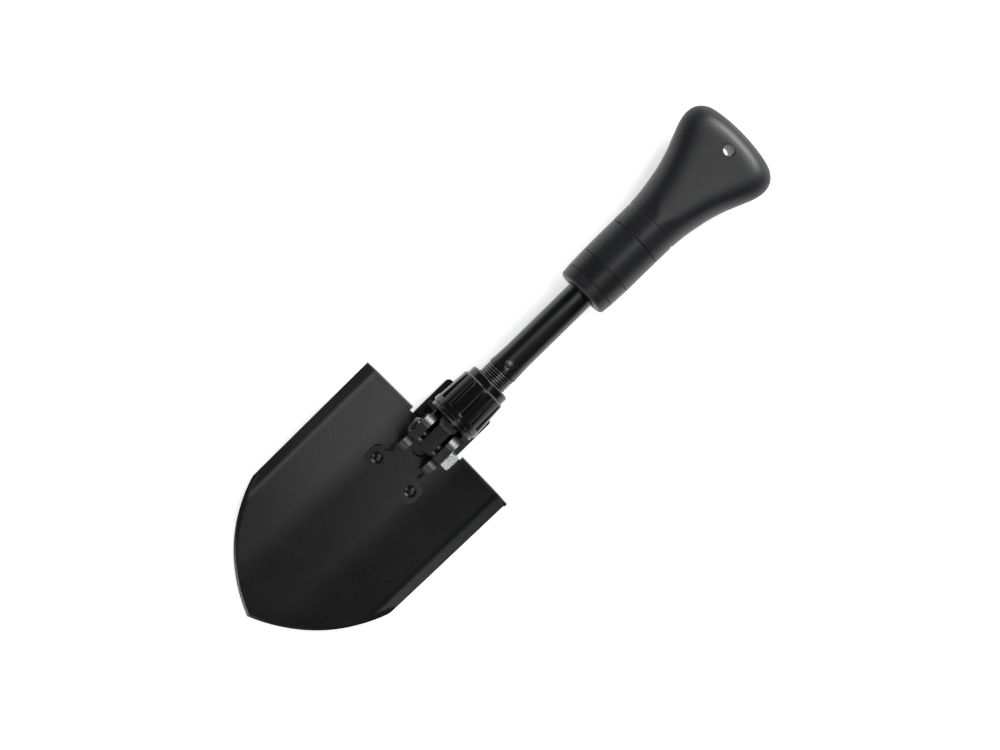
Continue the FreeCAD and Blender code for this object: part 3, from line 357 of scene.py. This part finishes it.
def carved(mesh, *cutters):
    """mesh with the cutters' solids taken away."""
    block = bpy.data.objects.new("block", mesh)
    bpy.context.scene.collection.objects.link(block)
    helpers = [block]
    for cutter in cutters:
        tool = bpy.data.objects.new("cutter", cutter)
        bpy.context.scene.collection.objects.link(tool)
        cut = block.modifiers.new("cut", "BOOLEAN")
        cut.operation = "DIFFERENCE"
        cut.solver = "EXACT"
        cut.object = tool
        helpers.append(tool)
    bpy.context.view_layer.update()
    graph = bpy.context.evaluated_depsgraph_get()
    result = bpy.data.meshes.new_from_object(block.evaluated_get(graph))
    for helper in helpers:
        bpy.data.objects.remove(helper)
    return result


def prism(outline, low, high, matrix):
    """A solid with that outline in x and y, from low to high."""
    bm = bmesh.new()
    face = bm.faces.new([bm.verts.new((x, y, low)) for x, y in outline])
    risen = bmesh.ops.extrude_face_region(bm, geom=[face])["geom"]
    verts = [item for item in risen if isinstance(item, bmesh.types.BMVert)]
    bmesh.ops.translate(bm, verts=verts, vec=(0, 0, high - low))
    return mesh_of("prism", bm, matrix)


def disc(radius, x=0.0, y=0.0, sides=48):
    turns = [2 * math.pi * side / sides for side in range(sides)]
    return [(x + radius * math.cos(turn), y + radius * math.sin(turn)) for turn in turns]


def skin(bm, rings):
    """Faces from each ring of points to the next."""
    for low, high in zip(rings, rings[1:]):
        for side in range(len(low)):
            after = (side + 1) % len(low)
            bm.faces.new((low[side], high[side], high[after], low[after]))


def ramp(distance, softness):
    """0 before the bend and the distance past it, rounded over the bend."""
    if distance <= -softness:
        return 0.0
    if distance >= softness:
        return distance
    return (distance + softness) ** 2 / (4 * softness)


# ---------------------------------------------------------------- blade

BLADE_DROP = 17.2
BLADE_SHEET = 2.0
TIP_X = -160.3
SHOULDER_X, SHOULDER_HALF = -94.3, 59.4
FOOT_X, FOOT_HALF, FOOT_HEIGHT = 5.5, 60.1, 5.0
OGIVE = 101.4
FLAT_HALF, PANEL_HALF, EDGE_HALF = 21.0, 52.5, 60.6
PANEL_RISE, STRIP_RISE = 2.9, 6.0
RIM, RIM_DROP = 1.9, 0.85
BEND = 1.0


def ogive_centre():
    chord = Vector((SHOULDER_X - TIP_X, SHOULDER_HALF))
    middle = Vector((TIP_X, 0)) + chord / 2
    inward = Vector((chord.y, -chord.x)).normalized()
    return middle + inward * math.sqrt(OGIVE ** 2 - (chord.length / 2) ** 2)


POINT_CENTRE = ogive_centre()


def blade_half(x):
    if x <= SHOULDER_X:
        reach = OGIVE ** 2 - (x - POINT_CENTRE.x) ** 2
        return max(0.0, POINT_CENTRE.y + math.sqrt(reach))
    share = (x - SHOULDER_X) / (FOOT_X - SHOULDER_X)
    return SHOULDER_HALF + share * (FOOT_HALF - SHOULDER_HALF)


def blade_height(x, y):
    """Height of the blade's front face, without the ground rim."""
    out = abs(y)
    panel = PANEL_RISE / (PANEL_HALF - FLAT_HALF)
    strip = (STRIP_RISE - PANEL_RISE) / (EDGE_HALF - PANEL_HALF)
    height = -BLADE_DROP + panel * ramp(out - FLAT_HALF, 7)
    return height + (strip - panel) * ramp(out - PANEL_HALF, 1.0)


def rim_drop(x, y):
    """How far the rim ground along the point falls below the front face."""
    if x > SHOULDER_X + 2:
        return 0.0
    inside = OGIVE - (Vector((x, abs(y))) - POINT_CENTRE).length
    return RIM_DROP / RIM * ramp(RIM - inside, 0.35)


def blade_rows():
    """Each row's x, and how far round the foot's bend it is."""
    bend_x = FOOT_X - BLADE_SHEET - BEND
    x = TIP_X
    while x < bend_x:
        yield x, 0.0
        x += 0.5 if x < TIP_X + 8 else 1.5
    for step in range(7):
        yield bend_x, math.radians(15 * step)


def blade_columns(half):
    rim = min(RIM, 0.4 * half)
    inner = [(-1 + step / 40) * (half - rim) for step in range(81)]
    outer = [half - rim * share for share in (0.75, 0.5, 0.25, 0.0)]
    return [-y for y in reversed(outer)] + inner + outer


def blade_ring(bm, x, bend, rise=0.0):
    """The sheet's front from side to side, and then its back."""
    front, back = [], []
    for y in blade_columns(blade_half(x)):
        height = blade_height(x, y) + BEND + rise
        for row, radius, drop in ((front, BEND, rim_drop(x, y)), (back, BEND + BLADE_SHEET, 0)):
            spot = (x + radius * math.sin(bend), y, height - radius * math.cos(bend) - drop)
            row.append(bm.verts.new(spot))
    return front + back[::-1]


def blade_mesh():
    bm = bmesh.new()
    rings = [blade_ring(bm, x, bend) for x, bend in blade_rows()]
    rings.append(blade_ring(bm, FOOT_X - BLADE_SHEET - BEND, math.pi / 2, FOOT_HEIGHT))
    skin(bm, rings)
    top = rings[-1]
    for index in range(len(top) // 2 - 1):
        bm.faces.new((top[index], top[index + 1], top[-index - 2], top[-index - 1]))
    bmesh.ops.remove_doubles(bm, verts=bm.verts, dist=0.01)
    return mesh_of("blade_steel", bm, BLADE)


NOTCH_X, NOTCH_HALF = 2.1, 21.5
SLOT_X, SLOT_HALF = -18.6, 11.6
RIVET_X, RIVET_HALF, RIVET_R = -32.6, 14.5, 2.4


def build_blade():
    beyond = FOOT_X + 6
    notch = [
        (beyond, -NOTCH_HALF), (NOTCH_X, -NOTCH_HALF), (NOTCH_X, -SLOT_HALF),
        (SLOT_X, -SLOT_HALF), (SLOT_X, SLOT_HALF), (NOTCH_X, SLOT_HALF),
        (NOTCH_X, NOTCH_HALF), (beyond, NOTCH_HALF),
    ]
    holes = [disc(RIVET_R, RIVET_X, side * RIVET_HALF) for side in (1, -1)]
    tools = [prism(outline, -40, 10, BLADE) for outline in [notch, *holes]]
    piece = add_piece("blade_steel", carved(blade_mesh(), *tools), "blade")
    smooth_faces(piece)
    round_edges(piece, 0.35, 40)


# ---------------------------------------------------------------- grip

# Distance from the pivot, half width and half thickness.
GRIP_SECTIONS = [
    (171.9, 17.75, 17.75),
    (172.3, 18.15, 18.15),
    (180.0, 18.2, 18.2),
    (189.0, 18.5, 18.25),
    (196.5, 19.2, 18.3),
    (203.8, 20.4, 18.3),
    (213.6, 22.4, 18.2),
    (223.5, 25.4, 17.9),
    (233.3, 29.4, 17.3),
    (243.1, 33.1, 16.2),
    (250.0, 33.9, 14.0),
    (256.0, 32.1, 11.0),
    (260.8, 26.6, 7.2),
    (263.2, 17.5, 4.2),
    (264.3, 8.0, 1.8),
]
FACET_BLEND, FACET_FADE = 3.4, 14.0
GROOVE_X, GROOVE_END, GROOVE_DEEP = 184.2, 186.2, 0.35
GROOVE_WIDE, GROOVE_THICK = 18.3, 18.23
FACET_X, FACET_SLOPE, FACET_TOP = 191.0, math.tan(math.radians(6.4)), 18.15
NECK_X, NECK_R = 158.9, 14.7
BORE_R, BORE_END = 11.3, 236.4
LANYARD_X, LANYARD_R, LANYARD_UNDER = 249.2, 3.7, -15.3
SIDES = 128


def between(sections, first, share):
    """A point on the smooth curve through the sections."""
    count = len(sections)
    a, b, c, d = (
        Vector(sections[min(max(first + step, 0), count - 1)]) for step in (-1, 0, 1, 2)
    )
    span = max((c - b).length, 1e-6)
    before = max((b - a).length, 1e-6)
    after = max((d - c).length, 1e-6)
    slope_b = (c - a) * (span / (before + span))
    slope_c = (d - b) * (span / (span + after))
    t = share
    return (
        b * (2 * t ** 3 - 3 * t ** 2 + 1)
        + slope_b * (t ** 3 - 2 * t ** 2 + t)
        + c * (3 * t ** 2 - 2 * t ** 3)
        + slope_c * (t ** 3 - t ** 2)
    )


def grip_outside():
    stations = []
    for first in range(1, len(GRIP_SECTIONS) - 1):
        gap = GRIP_SECTIONS[first + 1][0] - GRIP_SECTIONS[first][0]
        steps = max(4, round(gap / 1.2))
        stations += [between(GRIP_SECTIONS, first, step / steps) for step in range(steps)]
    stations = [Vector(GRIP_SECTIONS[0]), *stations, Vector(GRIP_SECTIONS[-1])]
    ridge = (GROOVE_X - 0.15, GROOVE_X + 0.15, GROOVE_END - 0.15, GROOVE_END + 0.15)
    plain = [one for one in stations if not GROOVE_X - 0.5 < one.x < GROOVE_END + 0.5]
    groove = [
        Vector((x, GROOVE_WIDE - sunk, GROOVE_THICK - sunk))
        for x, sunk in zip(ridge, (0, GROOVE_DEEP, GROOVE_DEEP, 0))
    ]
    return sorted(plain + groove, key=lambda one: one.x)


def least(first, second, softness):
    """The smaller of the two, rounded where they meet."""
    blend = max(0.0, softness - abs(first - second)) / softness
    return min(first, second) - blend * blend * softness / 4


def ring_of(bm, x, wide, thick):
    ring = []
    for side in range(SIDES):
        turn = 2 * math.pi * side / SIDES
        y, z = wide * math.cos(turn), thick * math.sin(turn)
        if x > FACET_X:
            past = x - FACET_X
            blend = min(FACET_BLEND, FACET_BLEND * past / FACET_FADE + 0.01)
            z = least(z, FACET_TOP - past * FACET_SLOPE, blend)
        ring.append(bm.verts.new((x, y, z)))
    return ring


def bore_ring(bm, x, radius):
    turns = [2 * math.pi * side / SIDES for side in range(SIDES)]
    return [bm.verts.new((x, radius * math.cos(turn), radius * math.sin(turn))) for turn in turns]


def grip_mesh():
    bm = bmesh.new()
    inside = [
        (BORE_END, 4.0), (BORE_END, BORE_R), (NECK_X, BORE_R), (NECK_X, NECK_R - 0.4),
        (NECK_X + 0.4, NECK_R), (GRIP_SECTIONS[0][0], NECK_R),
    ]
    rings = [bore_ring(bm, x, radius) for x, radius in inside]
    for x, wide, thick in grip_outside():
        rings.append(ring_of(bm, x, wide, thick))
    skin(bm, rings)
    for ring in (rings[0], rings[-1]):
        bm.faces.new(ring)
    return mesh_of("grip_shell", bm, SHAFT)


def funnel(x, z, facing, lean):
    """A countersink that breaks the lanyard hole's edge."""
    bm = bmesh.new()
    bmesh.ops.create_cone(
        bm, cap_ends=True, segments=64,
        radius1=LANYARD_R - 0.3, radius2=LANYARD_R + 1.7, depth=2.0,
    )
    turn = Matrix.Rotation(math.pi if facing < 0 else 0, 4, "X")
    bm.transform(Matrix.Translation((x, 0, z)) @ Matrix.Rotation(lean, 4, "Y") @ turn)
    return mesh_of("funnel", bm, SHAFT)


def build_grip():
    top = FACET_TOP - (LANYARD_X - FACET_X) * FACET_SLOPE
    tools = [
        prism(disc(LANYARD_R, LANYARD_X, 0, 64), -30, 30, SHAFT),
        funnel(LANYARD_X, top + 0.2, 1, math.atan(FACET_SLOPE)),
        funnel(LANYARD_X, LANYARD_UNDER, -1, math.radians(10)),
    ]
    piece = add_piece("grip_shell", carved(grip_mesh(), *tools), "grip")
    smooth_faces(piece)
    piece.data.set_sharp_from_angle(angle=math.radians(38))


build_blade()
build_grip()

SOFTENED = {
    "front_bracket": 0.35,
    "hammer_yoke": 0.7,
    "tongue": 0.5,
    "lock_ring": 0.15,
    "locking_collar": 0.25,
    "collar_core": 0.2,
    "pivot_nut": 0.2,
    "pivot_washer": 0.15,
    "shaft_tube": 0.09,
}

softened = {node: soften(node, width) for node, width in SOFTENED.items()}
# the tube's thread crests get the lighter steel: painted highlight lines
paint_crest_highlights(softened["shaft_tube"])
for node, thing in frame["nodes"].items():
    take_finish(thing, slot_of[node])


# ---------------------------------------------------------------- floor, light, camera

def stage_floor():
    bm = bmesh.new()
    bmesh.ops.create_grid(bm, x_segments=1, y_segments=1, size=6)
    floor = bpy.data.objects.new("floor", mesh_of("floor", bm))
    bpy.context.scene.collection.objects.link(floor)
    made = Nodes("floor_paper")
    made.set(Base_Color=(0.9, 0.9, 0.9, 1), Roughness=0.9, Emission_Color=(1, 1, 1, 1))
    made.set(Specular_IOR_Level=0.1, Emission_Strength=0.6)
    floor.data.materials.append(made.material)


SOFTBOX_FAR = 1.6


def softbox(name, towards, size, brightness):
    """A soft light in that direction from the shovel, facing it."""
    place = Vector(towards).normalized() * SOFTBOX_FAR
    light = bpy.data.lights.new(name, "AREA")
    light.shape = "RECTANGLE"
    light.size, light.size_y = size
    light.energy = brightness * math.pi * size[0] * size[1]
    lamp = bpy.data.objects.new(name, light)
    bpy.context.scene.collection.objects.link(lamp)
    lamp.location = place
    lamp.rotation_euler = (-place).to_track_quat("-Z", "Y").to_euler()


def light_tent(walls, top, wall_height, top_height):
    """White walls all round, fading to a darker top."""
    world = bpy.data.worlds.new("tent")
    world.use_nodes = True
    tree = world.node_tree
    direction = tree.nodes.new("ShaderNodeTexCoord").outputs["Generated"]
    height = tree.nodes.new("ShaderNodeSeparateXYZ")
    tree.links.new(direction, height.inputs["Vector"])
    fade = tree.nodes.new("ShaderNodeMapRange")
    fade.interpolation_type = "SMOOTHSTEP"
    for name, value in zip(
        ("From Min", "From Max", "To Min", "To Max"), (wall_height, top_height, walls, top)
    ):
        fade.inputs[name].default_value = value
    tree.links.new(height.outputs["Z"], fade.inputs["Value"])
    background = tree.nodes["Background"]
    background.inputs["Color"].default_value = (1, 1, 1, 1)
    tree.links.new(fade.outputs["Result"], background.inputs["Strength"])
    bpy.context.scene.world = world


CAMERA_LENS = 60.97
CAMERA_PLACE = (0.0268, 0.0609, 1.0408)
CAMERA_TURN = (-3.351, -1.551, -44.231)


def place_camera():
    data = bpy.data.cameras.new("camera")
    data.lens = CAMERA_LENS
    data.sensor_width = 36
    camera = bpy.data.objects.new("camera", data)
    bpy.context.scene.collection.objects.link(camera)
    camera.location = CAMERA_PLACE
    camera.rotation_euler = [math.radians(turn) for turn in CAMERA_TURN]
    bpy.context.scene.camera = camera


stage_floor()
light_tent(walls=0.8, top=0.02, wall_height=0.03, top_height=0.22)
softbox("key_box", (-0.18, -0.33, 0.92), (0.68, 0.80), 2.0)
softbox("strip_box", (-0.34, 0.66, 0.66), (0.46, 0.38), 5.1)
softbox("facet_box", (0.36, -0.12, 0.92), (0.42, 0.42), 7.0)
softbox("front_box", (-0.90, 0.05, 0.42), (0.90, 0.40), 6)
softbox("back_box", (0.90, -0.05, 0.42), (0.90, 0.40), 24)
place_camera()
bpy.context.scene.view_settings.view_transform = "Standard"
